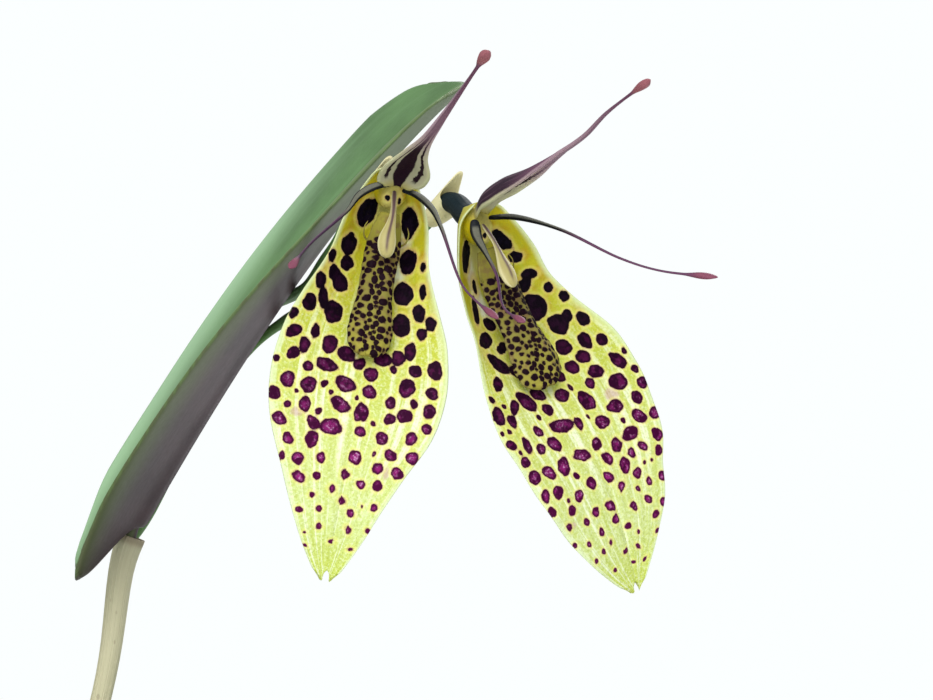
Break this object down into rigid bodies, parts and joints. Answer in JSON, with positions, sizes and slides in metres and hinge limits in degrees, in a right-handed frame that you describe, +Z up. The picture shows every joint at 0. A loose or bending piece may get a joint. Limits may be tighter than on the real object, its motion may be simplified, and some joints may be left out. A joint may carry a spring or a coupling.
{
  "type": "potted restrepia orchid",
  "caption": "Small orchid in a plain clay pot: slender sheathed stems with leathery leaves, and spotted blooms with thread-like petals on short stalks.",
  "frame": {"origin": "centre of the pot's flat base", "axes": "+Z up, the blooms face -Y, +X is to the right of a person who looks at them"},
  "size_m": [0.0994, 0.09, 0.1613],
  "materials": {
    "clay": "matt unglazed clay",
    "bark": "rough bark chips",
    "root": "dull, fibrous",
    "sheath": "dry and papery",
    "leaf": "leathery, faintly glossy",
    "stalk": "smooth, green",
    "synsepal": "waxy yellow green with dark purple spots",
    "dorsal_sepal": "waxy cream with purple stripes, pink club",
    "petal": "waxy dark purple, pink club",
    "lip": "warty olive with dark spots",
    "column": "waxy cream yellow with a purple stripe",
    "ovary": "waxy dark grey green",
    "bract": "thin and papery"
  },
  "bodies": {
    "root": {"pot": "clay", "bark": "bark", "rhizome": "root", "stem_flowering": "sheath", "stem_1": "sheath", "stem_2": "sheath", "stem_3": "sheath", "stem_4": "sheath", "stem_5": "sheath", "stem_6": "sheath", "stem_7": "sheath", "stem_8": "sheath", "leaf_flowering": "leaf", "leaf_1": "leaf", "leaf_2": "leaf", "leaf_3": "leaf", "leaf_4": "leaf", "leaf_5": "leaf", "leaf_6": "leaf", "leaf_7": "leaf", "leaf_8": "leaf", "bloom_left_synsepal": "synsepal", "bloom_left_dorsal_sepal": "dorsal_sepal", "bloom_left_petal_left": "petal", "bloom_left_petal_right": "petal", "bloom_left_lip": "lip", "bloom_left_column": "column", "bloom_left_ovary": "ovary", "bloom_left_bract": "bract", "bloom_left_peduncle": "stalk", "bloom_right_synsepal": "synsepal", "bloom_right_dorsal_sepal": "dorsal_sepal", "bloom_right_petal_left": "petal", "bloom_right_petal_right": "petal", "bloom_right_lip": "lip", "bloom_right_column": "column", "bloom_right_ovary": "ovary", "bloom_right_bract": "bract", "bloom_right_peduncle": "stalk"}
  },
  "joints": []
}
